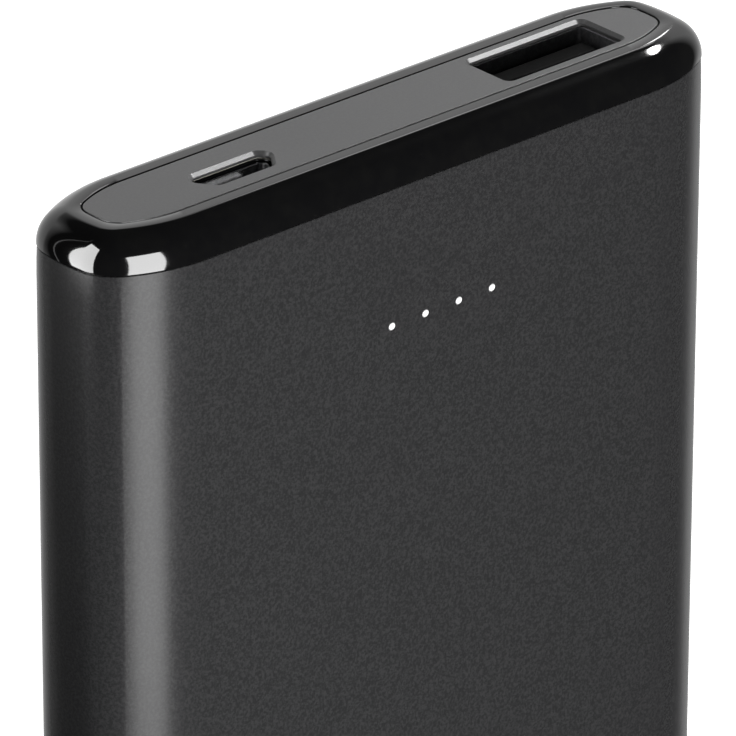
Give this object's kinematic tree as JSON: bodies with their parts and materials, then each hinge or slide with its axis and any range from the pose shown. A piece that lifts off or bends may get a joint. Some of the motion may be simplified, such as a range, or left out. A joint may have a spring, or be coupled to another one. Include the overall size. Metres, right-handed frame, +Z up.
{
  "type": "power bank",
  "caption": "Slim upright power bank: matt oval sleeve between gloss caps, large and small charging ports on top, lit pin-holes in front and a side push button.",
  "frame": {"origin": "middle of the underside, which it stands on", "axes": "+Z up along the height, X along the width, -Y towards the face with the lights, +X towards the side button"},
  "size_m": [0.0658, 0.014, 0.095],
  "materials": {
    "sleeve_matte": "fine matt grain",
    "cap_gloss": "high gloss",
    "plate_satin": "satin, bright cut edges",
    "adhesive": "matt film",
    "screw_steel": "plated",
    "frame_plastic": "moulded",
    "board_mask": "solder mask",
    "film": "insulating film",
    "shell_steel": "nickel plated",
    "tongue_black": "moulded",
    "tongue_white": "moulded",
    "contact_gold": "gold plated",
    "ferrite": "ferrite",
    "chip_black": "moulded",
    "capacitor_tan": "fired body",
    "led_white": "diffusing",
    "light_clear": "frosted, lit",
    "cell_foil": "laminate pouch",
    "foam": "open foam",
    "tab_nickel": "nickel",
    "lead_red": "insulation",
    "lead_black": "insulation",
    "button_plastic": "satin",
    "switch_plastic": "moulded",
    "dome_steel": "spring steel"
  },
  "bodies": {
    "case": {"case_sleeve": "sleeve_matte", "top_cap": "cap_gloss", "top_plate": "plate_satin", "top_plate_tape": "adhesive", "top_cap_screws": "screw_steel", "bottom_cap": "cap_gloss", "bottom_plate": "plate_satin", "bottom_plate_tape": "adhesive", "bottom_cap_screws": "screw_steel", "inner_frame": "frame_plastic", "main_board": "board_mask", "board_screws": "screw_steel", "board_film": "film", "usb_a_shell": "shell_steel", "usb_a_tongue": "tongue_black", "usb_a_contacts": "contact_gold", "micro_usb_shell": "shell_steel", "micro_usb_tongue": "tongue_white", "micro_usb_contacts": "contact_gold", "power_inductor": "ferrite", "controller_chip": "chip_black", "charger_chip": "chip_black", "mosfets": "chip_black", "capacitors": "capacitor_tan", "resistors": "chip_black", "indicator_leds": "led_white", "light_guide": "light_clear", "light_baffle": "frame_plastic", "battery_cell": "cell_foil", "cell_tape": "adhesive", "cell_foam": "foam", "cell_board": "board_mask", "cell_tabs": "tab_nickel", "positive_lead": "lead_red", "negative_lead": "lead_black", "switch_body": "switch_plastic", "switch_cover": "shell_steel", "switch_dome": "dome_steel"},
    "button": {"power_button": "button_plastic", "switch_plunger": "switch_plastic"}
  },
  "joints": [
    {"name": "button_press", "type": "slide", "parent": "case", "child": "button", "axis": [-1, 0, 0], "range_m": [0, 0.0003], "stiffness_N_per_m": 4000, "springref_m": -0.0001}
  ]
}
